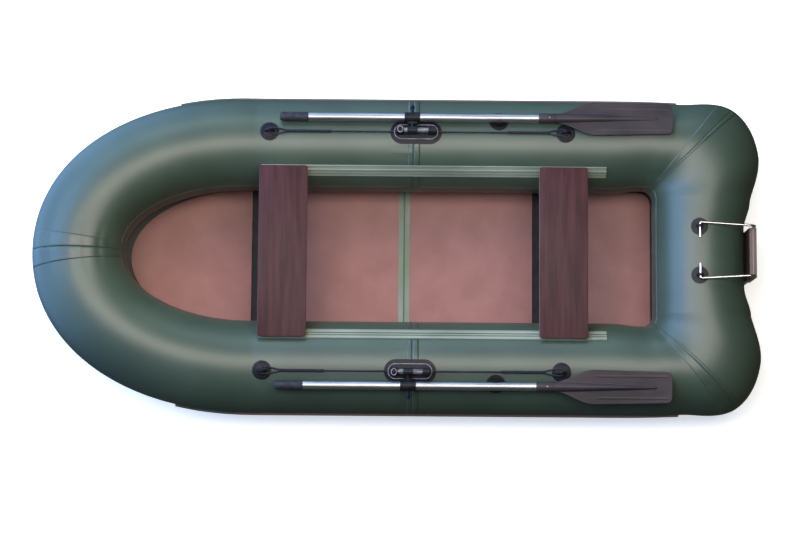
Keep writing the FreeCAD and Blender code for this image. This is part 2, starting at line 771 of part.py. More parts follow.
# ---------------------------------------------------------------- motor bracket
stern_mid_x = (stern_inside_x + stern_outside_x) / 2
stern_half = (stern_inside_x - stern_outside_x) / 2


def stern_point(angle, y):
    """Point and outward direction on the stern tube's narrow middle, angle going aft from the crest."""
    a = math.radians(angle)
    along = V(-math.sin(a) * stern_half, 0, math.cos(a) * tube_radius)
    normal = V(-math.sin(a) / stern_half, 0, math.cos(a) / tube_radius).normalize()
    return V(stern_mid_x, y, tube_radius).add(along), normal


stern_shell = stern_tube_shape(patch_thickness)


def bracket_eye(point, normal, hole_point):
    """Round patch on the stern tube with a lug that the rod's hooked end goes through."""
    depth = V(normal).multiply(bracket_patch_radius)
    reach = cylinder(bracket_patch_radius, point.sub(depth), point.add(depth))
    disc = reach.common(stern_shell).cut(stern_shape)
    disc = max(disc.Solids, key=lambda solid: solid.Volume)
    side = V(0, lug_thickness / 2, 0)
    lug = join([cylinder(rod_radius + lug_wall, hole_point.sub(side), hole_point.add(side)),
                lug_web(point, normal, hole_point)])
    across = V(0, far, 0)
    hole = cylinder(rod_radius + rod_hole_clearance, hole_point.sub(across), hole_point.add(across))
    return join([disc, lug.cut(stern_shape)]).cut(hole)


def lug_web(point, normal, hole_point):
    """Foot of the lug, from its eye down to the skin."""
    along = V(0, 1, 0).cross(normal)
    base = point.sub(V(normal).multiply(web_depth))
    half = rod_radius + lug_wall
    spread = half + lug_wall
    corners = [base.add(V(along).multiply(spread)), base.sub(V(along).multiply(spread)),
               hole_point.sub(V(along).multiply(half)), hole_point.add(V(along).multiply(half))]
    side = V(0, lug_thickness / 2, 0)
    return prism([p.sub(side) for p in corners], V(0, lug_thickness, 0))


upper_angle = math.degrees(math.asin((stern_mid_x - rod_eye_x) / stern_half))
motor_back_x = motor_board_front_x - 2 * motor_board_ply
rod_down_x = motor_board_front_x - motor_board_ply

for side_name, sign in (("port_", 1), ("starboard_", -1)):
    eye_y = bracket_y + sign * rod_eye_y
    upper_skin, upper_normal = stern_point(upper_angle, eye_y)
    upper_hole = V(rod_eye_x, eye_y, rod_height)
    lower_skin, lower_normal = stern_point(lower_eye_angle, eye_y)
    lower_hole = lower_skin.add(V(lower_normal).multiply(rod_height - 2 * tube_radius))
    stub = V(0, -sign * rod_stub, 0)
    swell = V(0, sign * (rod_y - rod_eye_y), 0)
    down_y = bracket_y + sign * rod_down_y
    bracket_rod = rod([upper_hole.add(stub), upper_hole.add(swell), V(rod_down_x, down_y, rod_height),
                       V(rod_down_x, down_y, lower_hole.z), lower_hole.add(swell), lower_hole.add(stub)],
                      [rod_hook_bend, rod_bend, rod_foot_bend, rod_hook_bend], rod_radius)
    add(side_name + "bracket_rod", bracket_rod)
    add(side_name + "upper_bracket_eye", bracket_eye(upper_skin, upper_normal, upper_hole))
    add(side_name + "lower_bracket_eye", bracket_eye(lower_skin, lower_normal, lower_hole))


def motor_board():
    """Two plywood layers with a groove between them for each rod, open at the board's edge."""
    bottom = motor_board_top - motor_board_height
    board = box(motor_back_x, motor_board_front_x, bracket_y - motor_board_half,
                bracket_y + motor_board_half, bottom, motor_board_top)
    for sign in (1, -1):
        y = bracket_y + sign * rod_down_y
        board = board.cut(cylinder(rod_radius + rod_hole_clearance, V(rod_down_x, y, bottom),
                                   V(rod_down_x, y, motor_board_top)))
    return board


add("motor_board", motor_board())

# ---------------------------------------------------------------- bow eye and air valves
bow_centre = V(bow_line_tip, 0, tube_radius + bow_rise)
bow_whole = join([bow_shape, mirrored(bow_shape)])


def bow_eye():
    """Patch under the nose with a bored lug for the painter."""
    a = math.radians(bow_eye_angle)
    normal = V(math.sin(a), 0, math.cos(a))
    along = V(math.cos(a), 0, -math.sin(a))
    skin = bow_centre.add(V(normal).multiply(tube_radius))
    hole = skin.add(V(normal).multiply(bow_eye_stand))
    shell_parts = [Part.makeLoft(bow_rings(patch_thickness), True)]
    shell_parts.append(mirrored(shell_parts[0]))
    depth = V(normal).multiply(bow_patch_radius)
    disc = cylinder(bow_patch_radius, skin.sub(depth), skin.add(depth))
    disc = disc.common(join(shell_parts)).cut(bow_whole)
    side = V(0, bow_eye_thickness / 2, 0)
    base = skin.sub(V(normal).multiply(web_depth))
    spread = bow_eye_radius + bow_web_spread
    corners = [base.add(V(along).multiply(spread)), base.sub(V(along).multiply(spread)),
               hole.sub(V(along).multiply(bow_eye_radius)), hole.add(V(along).multiply(bow_eye_radius))]
    web = prism([p.sub(side) for p in corners], V(0, bow_eye_thickness, 0))
    lug = join([cylinder(bow_eye_radius, hole.sub(side), hole.add(side)), web]).cut(bow_whole)
    bore = cylinder(bow_eye_hole, hole.sub(V(0, far, 0)), hole.add(V(0, far, 0)))
    return join([disc, lug]).cut(bore), hole


bow_eye_shape, bow_eye_centre = bow_eye()
add("bow_eye", bow_eye_shape)


def valve():
    """Air valve: a flange on the skin and its screw cap."""
    flange = Part.makeCylinder(valve_radius, valve_height, V(0, 0, tube_radius - valve_height / 2))
    cap = Part.makeCylinder(valve_cap_radius, valve_height / 2 + valve_cap_height, V(0, 0, tube_radius))
    return join([flange, cap]).cut(tube_core())


add_pair("air_valve", on_tube(valve(), -valve_angle, valve_x))

os.makedirs("parts", exist_ok=True)
for name, shape in nodes.items():
    if not shape.isValid():
        print("INVALID", name)
    shape.exportStep("parts/" + name + ".step")
    solids = len(shape.Solids)
    bound = shape.optimalBoundingBox(False, False)
    print("%-26s %d %9.0f cm3  X %7.1f %7.1f  Y %7.1f %7.1f  Z %6.1f %6.1f" % (
        name, solids, shape.Volume / 1000, bound.XMin, bound.XMax, bound.YMin, bound.YMax,
        bound.ZMin, bound.ZMax))
whole = Part.makeCompound(list(nodes.values())).optimalBoundingBox(False, False)
print("nodes", len(nodes), "box", whole)
print("volume m3", sum(shape.Volume for shape in nodes.values()) / 1e9)
print("oar hinge: y", side_line + bar_point[0], "z", tube_radius + bar_point[1])
print("oar hinge: port x", port_arm_x, "starboard x", starboard_arm_x)
print("arm angle", arm_angle, "oar angle", oar_angle, "bow eye", bow_eye_centre)
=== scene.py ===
import math
import bpy
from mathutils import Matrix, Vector, noise


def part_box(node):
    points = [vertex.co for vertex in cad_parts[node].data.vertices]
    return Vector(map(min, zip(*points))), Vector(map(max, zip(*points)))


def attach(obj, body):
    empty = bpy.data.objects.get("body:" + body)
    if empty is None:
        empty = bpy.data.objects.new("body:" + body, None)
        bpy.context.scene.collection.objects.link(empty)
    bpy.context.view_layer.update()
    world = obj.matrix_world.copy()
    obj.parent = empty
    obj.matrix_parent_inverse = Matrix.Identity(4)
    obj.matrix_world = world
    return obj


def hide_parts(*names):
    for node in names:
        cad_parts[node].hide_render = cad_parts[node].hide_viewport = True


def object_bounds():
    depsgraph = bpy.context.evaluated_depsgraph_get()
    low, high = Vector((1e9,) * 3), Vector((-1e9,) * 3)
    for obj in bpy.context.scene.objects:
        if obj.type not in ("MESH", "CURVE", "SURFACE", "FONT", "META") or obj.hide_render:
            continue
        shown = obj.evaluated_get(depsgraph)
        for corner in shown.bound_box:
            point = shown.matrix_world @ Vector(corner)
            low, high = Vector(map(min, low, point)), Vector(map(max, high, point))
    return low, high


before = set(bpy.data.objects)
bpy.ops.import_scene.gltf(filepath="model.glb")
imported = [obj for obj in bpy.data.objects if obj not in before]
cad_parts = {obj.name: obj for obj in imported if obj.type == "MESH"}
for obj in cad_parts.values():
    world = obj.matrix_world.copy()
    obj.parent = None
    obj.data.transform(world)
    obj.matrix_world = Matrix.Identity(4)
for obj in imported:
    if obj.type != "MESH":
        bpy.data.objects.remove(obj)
cad_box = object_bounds()

# ---- Camera: a long lens high over the port side, looking down into the boat with the bow on
# the left.
camera_data = bpy.data.cameras.new("camera")
camera_data.sensor_width = 36.0
camera_data.lens = 100.14
camera = bpy.data.objects.new("camera", camera_data)
camera.location = (0.0143, 1.1585, 9.3470)
camera.rotation_euler = [math.radians(a) for a in (6.930, -0.214, -179.561)]
bpy.context.collection.objects.link(camera)
bpy.context.scene.camera = camera
bpy.context.scene.view_settings.view_transform = "Standard"


# ---- Light: an open sky over a pale floor. One large soft panel hangs overhead and draws the
# warm band along each tube's crest. A blue one stands ahead of the bow, and a third and a
# small key light stand to starboard, so that the port side falls into shade.
def linear(hexa):
    """An sRGB hex colour as a linear RGBA value."""
    channels = [int(hexa[i:i + 2], 16) / 255 for i in (1, 3, 5)]
    return [c / 12.92 if c <= 0.04045 else ((c + 0.055) / 1.055) ** 2.4 for c in channels] + [1.0]


def add_node(tree, kind, links=(), **settings):
    """Add a node: settings go to its properties or, where named after one, to its sockets."""
    node = tree.nodes.new(kind)
    for key, value in settings.items():
        if hasattr(node, key):
            setattr(node, key, value)
        else:
            node.inputs[key.replace("_", " ")].default_value = value
    for source, socket in links:
        tree.links.new(source, node.inputs[socket])
    return node


def soft_panel(name, place, aim, size, colour, strength):
    """A rectangular light that shines from place towards aim, with its radiance as strength."""
    data = bpy.data.lights.new(name, "AREA")
    data.shape = "RECTANGLE"
    data.size, data.size_y = size
    data.color = linear(colour)[:3]
    data.energy = strength * math.pi * size[0] * size[1]
    panel = bpy.data.objects.new(name, data)
    panel.location = place
    panel.rotation_euler = (Vector(place) - Vector(aim)).to_track_quat("Z", "Y").to_euler()
    panel.visible_camera = False
    bpy.context.collection.objects.link(panel)
    return panel


soft_panel("overhead_panel", (0.0, -0.25, 4.6), (0.0, 0.0, 0.2), (5.6, 1.7), "#fff4e8", 7.0)
soft_panel("bow_sky_panel", (4.6, -1.2, 3.4), (0.6, 0.0, 0.2), (3.4, 3.4), "#9ec4ff", 3.2)
soft_panel("starboard_panel", (0.4, -5.2, 3.4), (0.0, 0.0, 0.2), (5.0, 1.6), "#e4f4ee", 2.6)
key_panel = soft_panel("starboard_key", (1.2, -3.4, 3.8), (0.0, 0.0, 0.2), (2.2, 1.6), "#fffaf4", 14.0)
key_panel.visible_glossy = False

world = bpy.data.worlds.new("sky")
world.use_nodes = True
bpy.context.scene.world = world
sky = world.node_tree
sky.nodes.clear()
direction = add_node(sky, "ShaderNodeTexCoord")
ahead = add_node(sky, "ShaderNodeVectorMath", [(direction.outputs["Generated"], 0)], operation="DOT_PRODUCT")
ahead.inputs[1].default_value = (0.90, -0.42, 0.10)
share = add_node(sky, "ShaderNodeMapRange", [(ahead.outputs["Value"], "Value")],
                 From_Min=0.25, From_Max=0.85, interpolation_type="SMOOTHSTEP")
light_sky = add_node(sky, "ShaderNodeMix", [(share.outputs["Result"], "Factor")], data_type="RGBA")
light_sky.inputs[6].default_value = linear("#4a4a40")
light_sky.inputs[7].default_value = [6.0 * c for c in linear("#6d93c4")]
seen_from = add_node(sky, "ShaderNodeLightPath")
seen = add_node(sky, "ShaderNodeMix", [(seen_from.outputs["Is Camera Ray"], "Factor"),
                                       (light_sky.outputs[2], 6)], data_type="RGBA")
seen.inputs[7].default_value = linear("#f1f1ef")
sky_light = add_node(sky, "ShaderNodeBackground", [(seen.outputs[2], "Color")], Strength=1.0)
add_node(sky, "ShaderNodeOutputWorld", [(sky_light.outputs[0], "Surface")])


def material(name, colour, roughness, metallic=0.0, **settings):
    """A named material with its uniform values on the shader's own sockets."""
    made = bpy.data.materials.new(name)
    made.use_nodes = True
    shader = made.node_tree.nodes["Principled BSDF"]
    shader.inputs["Base Color"].default_value = linear(colour)
    shader.inputs["Roughness"].default_value = roughness
    shader.inputs["Metallic"].default_value = metallic
    for key, value in settings.items():
        shader.inputs[key.replace("_", " ")].default_value = value
    return made, made.node_tree, shader


def wear(tree, made_from, shader, dark, light, scale_mm, stretch=(1.0, 1.0, 1.0), detail=3.0):
    """Uneven colour between two tones in patches about scale_mm across."""
    turn = add_node(tree, "ShaderNodeMapping", [(made_from, "Vector")])
    turn.inputs["Scale"].default_value = stretch
    cloud = add_node(tree, "ShaderNodeTexNoise", [(turn.outputs[0], "Vector")],
                     Scale=1000.0 / scale_mm, Detail=detail)
    ramp = add_node(tree, "ShaderNodeMapRange", [(cloud.outputs["Fac"], "Value")],
                    From_Min=0.35, From_Max=0.65)
    mix = add_node(tree, "ShaderNodeMix", [(ramp.outputs["Result"], "Factor")], data_type="RGBA")
    mix.inputs[6].default_value = linear(dark)
    mix.inputs[7].default_value = linear(light)
    tree.links.new(mix.outputs[2], shader.inputs["Base Color"])
    return mix, cloud


def relief(tree, shader, height, depth_mm, strength=1.0, under=None):
    """Bump of a real depth, on top of any bump under it."""
    bump = add_node(tree, "ShaderNodeBump", [(height, "Height")], Strength=strength,
                    Distance=depth_mm / 1000.0)
    if under is not None:
        tree.links.new(under.outputs[0], bump.inputs["Normal"])
    tree.links.new(bump.outputs[0], shader.inputs["Normal"])
    return bump


# Studio floor: a matt white board lit from within, so that shadows on it stay soft and pale.
floor_paint, floor_tree, floor_shader = material("matt_floor_paint", "#f4f4f2", 0.85)
floor_place = add_node(floor_tree, "ShaderNodeTexCoord").outputs["Object"]
wear(floor_tree, floor_place, floor_shader, "#f3f3f1", "#f7f7f6", 900.0)
bpy.ops.mesh.primitive_plane_add(size=40.0, location=(0.0, 0.0, cad_box[0][2] - 0.0005))
studio_floor = bpy.context.object
studio_floor.name = "studio_floor"
studio_floor.data.materials.append(floor_paint)
floor_shader.inputs["Emission Color"].default_value = linear("#ffffff")
floor_shader.inputs["Emission Strength"].default_value = 0.55
studio_floor.visible_diffuse = False
studio_floor.visible_glossy = False


# ---- Hull tubes: five lengths of PVC-coated polyester, welded and glued into an airtight ring
# and blown up hard, so every section is an oval and the cloth only puckers beside its seams.
side_low, side_high = [Vector(c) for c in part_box("port_side_tube")]
bow_low, bow_high = [Vector(c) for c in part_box("port_bow_tube")]
stern_low, stern_high = [Vector(c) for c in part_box("stern_tube")]
tube_radius = (side_high.z - side_low.z) / 2
side_line = side_high.y - tube_radius
seam_x = side_high.x
bow_line_tip = bow_high.x - tube_radius
bow_rise = bow_high.z - 2 * tube_radius
bow_curve_start = 0.600
bow_roundness = 2.12
rise_start = 0.585
taper_start = -0.880
corner_pivot = Vector((-1.012, 0.239, tube_radius))
corner_inner_radius = 0.045
corner_reach = [0.413, 0.441, 0.5425, 0.528, 0.451]
stern_inside_x = -1.057
stern_outside_x = -1.436
stern_hollow_half = 0.120


def deselect():
    """Nothing selected and no edit mode, ready for the next primitive."""
    if bpy.context.object and bpy.context.object.mode != "OBJECT":
        bpy.ops.object.mode_set(mode="OBJECT")
    bpy.ops.object.select_all(action="DESELECT")


def rise(x):
    """Height that the bow gains at x."""
    return bow_rise / (bow_line_tip - rise_start) * max(0.0, x - rise_start)


def bow_station(share):
    """Centre, outward direction and half sizes of the port bow tube, from cross seam to tip."""
    straight = 0.42
    if share < straight:
        x = seam_x + (bow_curve_start - seam_x) * share / straight
        centre = Vector((x, side_line, tube_radius + rise(x)))
        return centre, Vector((0.0, 1.0, 0.0)), tube_radius, tube_radius
    turn = math.pi / 2 * (share - straight) / (1 - straight)
    reach = bow_line_tip - bow_curve_start
    along = math.sin(turn) ** (2 / bow_roundness)
    across = max(math.cos(turn), 0.0) ** (2 / bow_roundness)
    x = bow_curve_start + reach * along
    outward = Vector((along ** (bow_roundness - 1) / reach, across ** (bow_roundness - 1) / side_line, 0.0))
    centre = Vector((x, side_line * across, tube_radius + rise(x)))
    return centre, outward.normalized(), tube_radius, tube_radius


def smooth_between(values, place):
    """A smooth curve through evenly spaced values."""
    i = min(int(place), len(values) - 2)
    t = place - i
    before = values[max(i - 1, 0)]
    after = values[min(i + 2, len(values) - 1)]
    a, b = values[i], values[i + 1]
    start, end = (b - before) / 2, (after - a) / 2
    return (a * (2 * t ** 3 - 3 * t ** 2 + 1) + start * (t ** 3 - 2 * t ** 2 + t)
            + b * (3 * t ** 2 - 2 * t ** 3) + end * (t ** 3 - t ** 2))


def corner_station(eighths):
    """The same for a stern corner, eighths of a turn round its pivot."""
    angle = math.pi / 8 * eighths
    outward = Vector((-math.sin(angle), math.cos(angle), 0.0))
    reach = smooth_between(corner_reach, eighths)
    centre = corner_pivot + outward * (reach + corner_inner_radius) / 2
    return centre, outward, (reach - corner_inner_radius) / 2, tube_radius


def side_station(share):
    """The port side tube, from cross seam to mitre."""
    straight, taper = 0.55, 0.70
    if share < straight:
        x = seam_x + (taper_start - seam_x) * share / straight
        return Vector((x, side_line, tube_radius)), Vector((0.0, 1.0, 0.0)), tube_radius, tube_radius
    if share < taper:
        t = (share - straight) / (taper - straight)
        centre, outward, half, height = corner_station(0.0)
        start = Vector((taper_start, side_line, tube_radius))
        eased = t * t * (3 - 2 * t)
        place = start.lerp(centre, t)
        place.y = side_line + (centre.y - side_line) * eased
        return place, outward, tube_radius + (half - tube_radius) * eased, height
    return corner_station(2.0 * (share - taper) / (1 - taper))


def stern_station(share):
    """Port half of the stern tube, from mitre to centreline."""
    turned, tapered = 0.50, 0.80
    if share < turned:
        return corner_station(2.0 + 2.0 * share / turned)
    middle = (stern_inside_x + stern_outside_x) / 2
    half = (stern_inside_x - stern_outside_x) / 2
    corner_centre, outward, corner_half, height = corner_station(4.0)
    t = min((share - turned) / (tapered - turned), 1.0)
    eased = t * t * (3 - 2 * t)
    y = corner_centre.y + (stern_hollow_half - corner_centre.y) * t
    if share > tapered:
        y = stern_hollow_half * (1 - (share - tapered) / (1 - tapered))
    x = corner_centre.x + (middle - corner_centre.x) * eased
    return Vector((x, y, tube_radius)), outward, corner_half + (half - corner_half) * eased, height


def tube_skin(name, station, lengthwise, round_count, pucker):
    """One tube: a grid wrapped round its stations, its long edge merged. The port one."""
    deselect()
    bpy.ops.mesh.primitive_grid_add(x_subdivisions=lengthwise, y_subdivisions=round_count, size=1.0)
    piece = bpy.context.object
    piece.name = name
    for vertex in piece.data.vertices:
        share = min(max(vertex.co.x + 0.5, 0.0), 1.0)
        angle = 2 * math.pi * (vertex.co.y + 0.5)
        centre, outward, half, height = station(share)
        swell = pucker(share, angle)
        vertex.co = centre + outward * math.cos(angle) * (half + swell) \
            + Vector((0.0, 0.0, math.sin(angle) * (height + swell)))
    finish_skin(piece)
    return piece


def finish_skin(piece):
    """Merge the seam, face outwards and shade smooth."""
    bpy.ops.object.mode_set(mode="EDIT")
    bpy.ops.mesh.select_all(action="SELECT")
    bpy.ops.mesh.remove_doubles(threshold=0.00001)
    bpy.ops.mesh.normals_make_consistent(inside=False)
    bpy.ops.object.mode_set(mode="OBJECT")
    bpy.ops.object.shade_smooth()


def starboard_copy(piece, name):
    """The mirror image of a port piece, with its own mesh."""
    deselect()
    other = piece.copy()
    other.data = piece.data.copy()
    other.name = name
    bpy.context.collection.objects.link(other)
    for vertex in other.data.vertices:
        vertex.co.y = -vertex.co.y
    other.data.flip_normals()
    return other


def ripples(angle, count, seed):
    """Shallow folds that run along a tube, uneven round it, from 0 down to -1."""
    place = Vector((math.cos(angle) * count, math.sin(angle) * count, seed))
    return -max(0.0, noise.noise(place) * 2.2)


def bow_pucker(share, angle):
    """Folds beside the nose seam, and a few short ones at the cross seam."""
    nose = math.exp(-((1 - share) / 0.075) ** 2) * 0.0028 * ripples(angle, 9.0, 1.0)
    cross = math.exp(-(share / 0.05) ** 2) * 0.0012 * ripples(angle, 7.0, 4.0)
    return nose + cross


def side_pucker(share, angle):
    """Short folds at the cross seam and inside the corner."""
    cross = math.exp(-(share / 0.05) ** 2) * 0.0012 * ripples(angle, 7.0, 8.0)
    inner = max(0.0, -math.cos(angle)) ** 2
    mitre = math.exp(-((1 - share) / 0.14) ** 2) * 0.0030 * inner * ripples(angle, 6.0, 12.0)
    return cross + mitre


def stern_pucker(share, angle):
    """Folds inside the corner."""
    inner = max(0.0, -math.cos(angle)) ** 2
    return math.exp(-(share / 0.16) ** 2) * 0.0030 * inner * ripples(angle, 6.0, 16.0)


hull_fabric, hull_tree, hull_shader = material("pvc_coated_polyester", "#35443a", 0.42,
                                              Specular_IOR_Level=0.7)
hull_place = add_node(hull_tree, "ShaderNodeTexCoord").outputs["Object"]
wear(hull_tree, hull_place, hull_shader, "#324036", "#38473c", 260.0)
weave = add_node(hull_tree, "ShaderNodeTexNoise", [(hull_place, "Vector")], Scale=420.0, Detail=2.0)
relief(hull_tree, hull_shader, weave.outputs["Fac"], 0.25, 0.25)

for node, station, lengthwise, pucker in (("bow_tube", bow_station, 220, bow_pucker),
                                          ("side_tube", side_station, 170, side_pucker)):
    skin = tube_skin("port_" + node + "_skin", station, lengthwise, 112, pucker)
    skin.data.materials.append(hull_fabric)
    other = starboard_copy(skin, "starboard_" + node + "_skin")
    for side, piece in (("port_", skin), ("starboard_", other)):
        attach(piece, "hull")
        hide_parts(side + node)

half_stern = tube_skin("stern_tube_skin", stern_station, 120, 112, stern_pucker)
other_half = starboard_copy(half_stern, "stern_half")


def unite(pieces):
    """Join pieces into the first of them."""
    deselect()
    for piece in pieces:
        piece.select_set(True)
    bpy.context.view_layer.objects.active = pieces[0]
    bpy.ops.object.join()
    return pieces[0]


unite([half_stern, other_half])
finish_skin(half_stern)
half_stern.data.materials.append(hull_fabric)
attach(half_stern, "hull")
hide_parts("stern_tube")

# ---- Seam tapes: strips of the same cloth, pressed nearly flush, glued over the cross seams, the
# nose and the stern mitres, and a wide one inside the cockpit where the bottom is glued on.
seam_tape, tape_tree, tape_shader = material("glued_pvc_tape", "#35443a", 0.38, Specular_IOR_Level=0.7)
tape_place = add_node(tape_tree, "ShaderNodeTexCoord").outputs["Object"]
wear(tape_tree, tape_place, tape_shader, "#303d34", "#37463b", 60.0)
tape_weave = add_node(tape_tree, "ShaderNodeTexNoise", [(tape_place, "Vector")], Scale=420.0, Detail=2.0)
relief(tape_tree, tape_shader, tape_weave.outputs["Fac"], 0.25, 0.3)
tape_thickness = 0.0002


def tape(name, station, shares, degrees, lengthwise, round_count, pucker):
    """A strip on the port tube between two shares of its length and two angles round it."""
    deselect()
    bpy.ops.mesh.primitive_grid_add(x_subdivisions=lengthwise, y_subdivisions=round_count, size=1.0)
    strip = bpy.context.object
    strip.name = name
    for vertex in strip.data.vertices:
        share = shares[0] + (shares[1] - shares[0]) * min(max(vertex.co.x + 0.5, 0.0), 1.0)
        angle = math.radians(degrees[0] + (degrees[1] - degrees[0]) * (vertex.co.y + 0.5))
        centre, outward, half, height = station(share)
        swell = pucker(share, angle) + tape_thickness
        vertex.co = centre + outward * math.cos(angle) * (half + swell) \
            + Vector((0.0, 0.0, math.sin(angle) * (height + swell)))
    finish_skin(strip)
    middle = strip.data.polygons[len(strip.data.polygons) // 2]
    centre = station((shares[0] + shares[1]) / 2)[0]
    if middle.normal.dot(middle.center - centre) < 0:
        strip.data.flip_normals()
    wall = strip.modifiers.new("wall", "SOLIDIFY")
    wall.thickness = tape_thickness * 1.6
    wall.offset = -1.0
    bpy.ops.object.modifier_apply(modifier="wall")
    strip.data.materials.append(seam_tape)
    return strip


def hull_pair(piece, replaced=None):
    """Ride a port piece and its starboard mirror image on the hull."""
    name = piece.name
    other = starboard_copy(piece, name.replace("port_", "starboard_"))
    for side, part in (("port_", piece), ("starboard_", other)):
        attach(part, "hull")
        if replaced:
            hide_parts(side + replaced)
    return other


# Each tape follows the very points of the skin below it, so that it lies evenly on every fold.
bow_count, side_count, stern_count, round_count = 220, 170, 120, 112
whole_turn = (0.0, 360.0)
inner_low, inner_high = 50, 67
inner_turn = (360.0 * inner_low / round_count, 360.0 * inner_high / round_count)
inner_steps = inner_high - inner_low
bow_from, side_from = 212, 162
cross = 3
strips = [tape("port_seam_tapes", bow_station, (0.0, cross / bow_count), whole_turn, cross, round_count,
               bow_pucker),
          tape("side_cross", side_station, (0.0, cross / side_count), whole_turn, cross, round_count,
               side_pucker),
          tape("nose", bow_station, (bow_from / bow_count, 1.0), whole_turn, bow_count - bow_from,
               round_count, bow_pucker),
          tape("mitre_fore", side_station, (side_from / side_count, 1.0), whole_turn,
               side_count - side_from, round_count, side_pucker),
          tape("mitre_aft", stern_station, (0.0, cross / stern_count), whole_turn, cross, round_count,
               stern_pucker)]
hull_pair(unite(strips))
inner = [tape("port_bottom_tapes", bow_station, (cross / bow_count, bow_from / bow_count), inner_turn,
              bow_from - cross, inner_steps, bow_pucker),
         tape("side_inner", side_station, (cross / side_count, side_from / side_count), inner_turn,
              side_from - cross, inner_steps, side_pucker),
         tape("stern_inner", stern_station, (cross / stern_count, 1.0), inner_turn, stern_count - cross,
              inner_steps, stern_pucker)]
hull_pair(unite(inner))


# ---- Rubbing strips: extruded PVC, matt, a shade greyer than the tubes, with a dull red-brown band
# painted along the upper edge as a painted highlight.
def dress(names, finish):
    """Give CAD nodes a finish."""
    for name in names:
        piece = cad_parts[name]
        piece.data.materials.clear()
        piece.data.materials.append(finish)


def both(*names):
    """The port and starboard nodes of each name."""
    return [side + name for name in names for side in ("port_", "starboard_")]


def band_mask(tree, place, axis, low, high, edge):
    """1 between two places along an object axis, 0 outside, with soft edges."""
    split = add_node(tree, "ShaderNodeSeparateXYZ", [(place, "Vector")])
    up = add_node(tree, "ShaderNodeMapRange", [(split.outputs[axis], "Value")],
                  From_Min=low - edge, From_Max=low + edge)
    down = add_node(tree, "ShaderNodeMapRange", [(split.outputs[axis], "Value")],
                    From_Min=high + edge, From_Max=high - edge)
    return add_node(tree, "ShaderNodeMath", [(up.outputs[0], 0), (down.outputs[0], 1)], operation="MULTIPLY")


def tint(tree, shader, mask, colour, under):
    """Lay a colour over what colours the shader, where the mask is 1."""
    over = add_node(tree, "ShaderNodeMix", [(mask.outputs[0], "Factor"), (under.outputs[2], 6)],
                    data_type="RGBA")
    over.inputs[7].default_value = linear(colour)
    tree.links.new(over.outputs[2], shader.inputs["Base Color"])
    return over


strip_pvc, strip_tree, strip_shader = material("extruded_pvc", "#3b443c", 0.55)
strip_place = add_node(strip_tree, "ShaderNodeTexCoord").outputs["Object"]
strip_mix, strip_cloud = wear(strip_tree, strip_place, strip_shader, "#363f37", "#414b42", 40.0)
# The band is colour only: a painted highlight along the upper edge. No bead is modelled there.
bead = band_mask(strip_tree, strip_place, "Z", 0.196, 0.209, 0.001)
tint(strip_tree, strip_shader, bead, "#5a4a43", strip_mix)
relief(strip_tree, strip_shader, strip_cloud.outputs["Fac"], 0.4, 0.4)
dress(both("rub_strip"), strip_pvc)

# ---- Bottom: one sheet of heavier PVC cloth, nearly black in the shade under the boards.
bottom_cloth, bottom_tree, bottom_shader = material("heavy_pvc_cloth", "#1e221f", 0.55)
bottom_place = add_node(bottom_tree, "ShaderNodeTexCoord").outputs["Object"]
wear(bottom_tree, bottom_place, bottom_shader, "#191d1a", "#242924", 120.0)
ribs = add_node(bottom_tree, "ShaderNodeTexNoise", [(bottom_place, "Vector")], Scale=260.0)
relief(bottom_tree, bottom_shader, ribs.outputs["Fac"], 0.3, 0.4)
dress(["bottom_skin"], bottom_cloth)

# ---- Floor boards: birch plywood faced with a red-brown phenolic film, pressed with a fine mesh
# so that wet shoes grip. The mesh is 5 mm, usual for such boards.
floor_film, film_tree, film_shader = material("mesh_faced_plywood", "#8d605b", 0.50)
film_place = add_node(film_tree, "ShaderNodeTexCoord").outputs["Object"]
film_mix, film_cloud = wear(film_tree, film_place, film_shader, "#7c4c46", "#855550", 120.0, detail=6.0)
mesh_pitch = 0.005


def thread(tree, place, direction, pitch):
    """Ridges across one direction, a pitch apart."""
    return add_node(tree, "ShaderNodeTexWave", [(place, "Vector")], bands_direction=direction,
                    Scale=2 * math.pi / (20.0 * pitch), Distortion=0.6)


warp = thread(film_tree, film_place, "X", mesh_pitch)
weft = thread(film_tree, film_place, "Y", mesh_pitch)
crossed = add_node(film_tree, "ShaderNodeMath", [(warp.outputs["Fac"], 0), (weft.outputs["Fac"], 1)],
                   operation="MAXIMUM")
relief(film_tree, film_shader, crossed.outputs[0], 0.35, 0.5)
# The grooves of the mesh are tinted darker: painted shade in its hollows.
painted_groove_shade = add_node(film_tree, "ShaderNodeMapRange", [(crossed.outputs[0], "Value")],
                      To_Min=0.16, To_Max=0.0)
tint(film_tree, film_shader, painted_groove_shade, "#4a2c2a", film_mix)
boards = ["bow_floor_board", "front_floor_board", "rear_floor_board", "stern_floor_board"]
dress(boards, floor_film)

# The middle fold is covered by a green tape, with a dark line painted along its centre as the shade of its
# crease.
fold_low, fold_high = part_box("floor_fold_tape")
fold_middle = (fold_low.x + fold_high.x) / 2
fold_pvc, fold_tree, fold_shader = material("fold_tape_pvc", "#5a6a58", 0.5)
fold_place = add_node(fold_tree, "ShaderNodeTexCoord").outputs["Object"]
fold_mix, fold_cloud = wear(fold_tree, fold_place, fold_shader, "#55664f", "#6a786b", 70.0, (1.0, 0.3, 1.0))
# A dark band painted along the tape's centre: painted shade of the crease.
painted_crease_shade = band_mask(fold_tree, fold_place, "X", fold_middle - 0.003, fold_middle + 0.003, 0.0015)
tint(fold_tree, fold_shader, painted_crease_shade, "#2c3429", fold_mix)
relief(fold_tree, fold_shader, fold_cloud.outputs["Fac"], 0.6, 0.5)
dress(["floor_fold_tape"], fold_pvc)

